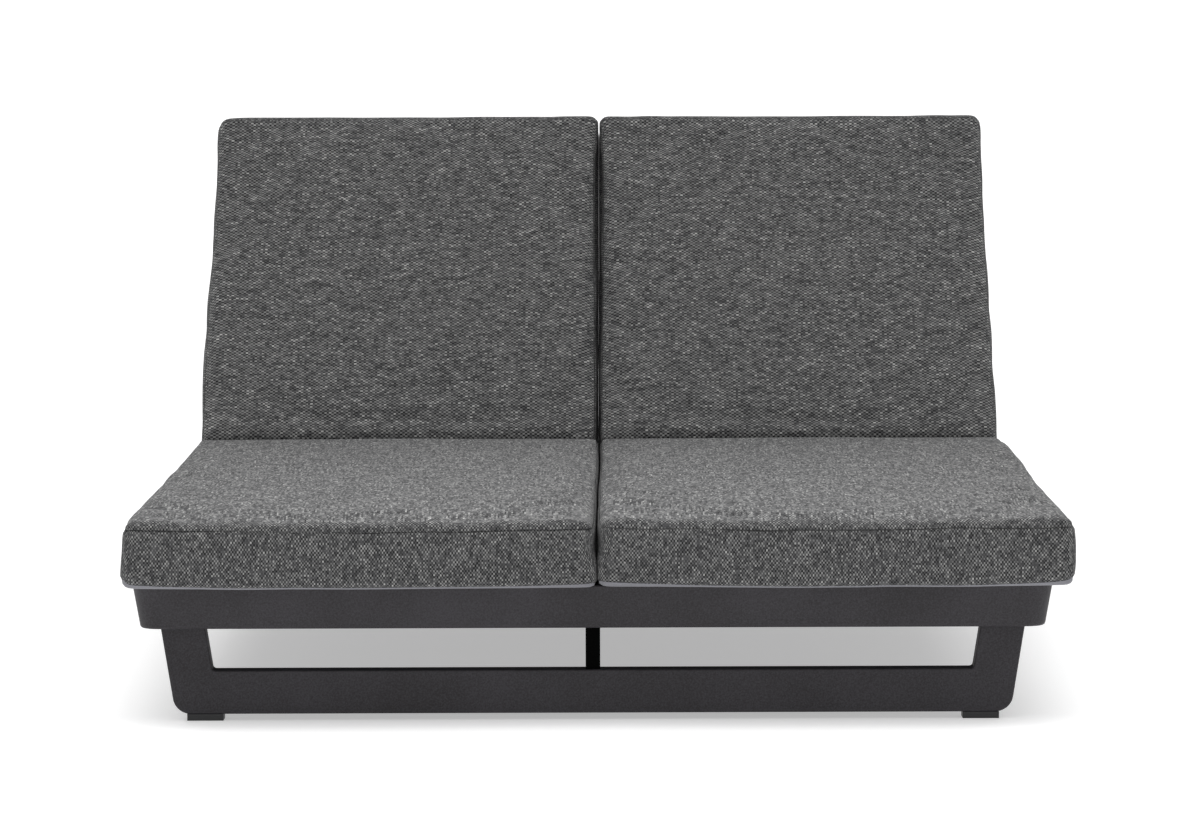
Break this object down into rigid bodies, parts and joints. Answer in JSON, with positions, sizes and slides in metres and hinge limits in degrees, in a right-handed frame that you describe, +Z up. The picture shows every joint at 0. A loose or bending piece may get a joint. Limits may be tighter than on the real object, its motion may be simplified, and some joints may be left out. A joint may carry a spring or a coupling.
{
  "type": "double chaise lounger",
  "caption": "Low double sun lounger with a leaning tube frame on sled legs, two seat cushions and two backs that recline on their own on propped notched racks.",
  "frame": {"origin": "on the floor under the middle of the lounger as it stands with both backs raised", "axes": "+Y from the foot end to the head end, +X to the right as seen from the foot end, +Z up"},
  "size_m": [1.305, 1.9996, 0.7748],
  "materials": {
    "frame": "matte",
    "post": "matte",
    "steel": "satin",
    "bolts": "satin",
    "plastic": "matte",
    "fabric": "matte",
    "foam": "matte"
  },
  "bodies": {
    "frame": {"front_rail": "frame", "rear_rail": "frame", "side_rail_left": "frame", "side_rail_right": "frame", "centre_rail": "frame", "pivot_crossbar_left": "frame", "pivot_crossbar_right": "frame", "seat_ledge_left": "frame", "seat_ledge_right": "frame", "seat_slats_left": "frame", "seat_slats_right": "frame", "leg_front_left": "frame", "leg_front_right": "frame", "leg_rear_left": "frame", "leg_rear_right": "frame", "low_rail_front": "frame", "low_rail_rear": "frame", "centre_post_front": "post", "centre_post_rear": "post", "foot_glides": "plastic", "glide_screws": "bolts", "leg_bolts": "bolts", "hinge_brackets": "steel", "hinge_bolts": "bolts", "hinge_nuts": "bolts", "rack_left_inner": "steel", "rack_left_outer": "steel", "rack_right_inner": "steel", "rack_right_outer": "steel", "seat_left_cushion_cover": "fabric", "seat_right_cushion_cover": "fabric", "seat_left_foam_core": "foam", "seat_right_foam_core": "foam"},
    "back_left": {"back_left_inner_stile": "frame", "back_left_outer_stile": "frame", "back_left_top_rail": "frame", "back_left_bottom_rail": "frame", "back_left_slats": "frame", "back_left_hinge_bushes": "plastic", "back_left_prop_pins": "bolts", "back_left_cushion_cover": "fabric", "back_left_foam_core": "foam"},
    "prop_left": {"prop_left_inner_arm": "steel", "prop_left_outer_arm": "steel", "prop_left_foot_rod": "steel", "prop_left_sleeves": "plastic"},
    "back_right": {"back_right_inner_stile": "frame", "back_right_outer_stile": "frame", "back_right_top_rail": "frame", "back_right_bottom_rail": "frame", "back_right_slats": "frame", "back_right_hinge_bushes": "plastic", "back_right_prop_pins": "bolts", "back_right_cushion_cover": "fabric", "back_right_foam_core": "foam"},
    "prop_right": {"prop_right_inner_arm": "steel", "prop_right_outer_arm": "steel", "prop_right_foot_rod": "steel", "prop_right_sleeves": "plastic"}
  },
  "joints": [
    {"name": "back_left_recline", "type": "hinge", "parent": "frame", "child": "back_left", "pos_m": [0, 0.327, 0.162], "axis": [1, 0, 0], "range_deg": [-52, 0]},
    {"name": "prop_left_fold", "type": "hinge", "parent": "back_left", "child": "prop_left", "pos_m": [0, 0.49939, 0.38264], "axis": [1, 0, 0], "range_deg": [0, 104]},
    {"name": "back_right_recline", "type": "hinge", "parent": "frame", "child": "back_right", "pos_m": [0, 0.327, 0.162], "axis": [1, 0, 0], "range_deg": [-52, 0]},
    {"name": "prop_right_fold", "type": "hinge", "parent": "back_right", "child": "prop_right", "pos_m": [0, 0.49939, 0.38264], "axis": [1, 0, 0], "range_deg": [0, 104]}
  ],
  "couplings": [
    {"joint": "prop_left_fold", "follows": "back_left_recline", "ratio": -2},
    {"joint": "prop_right_fold", "follows": "back_right_recline", "ratio": -2}
  ]
}
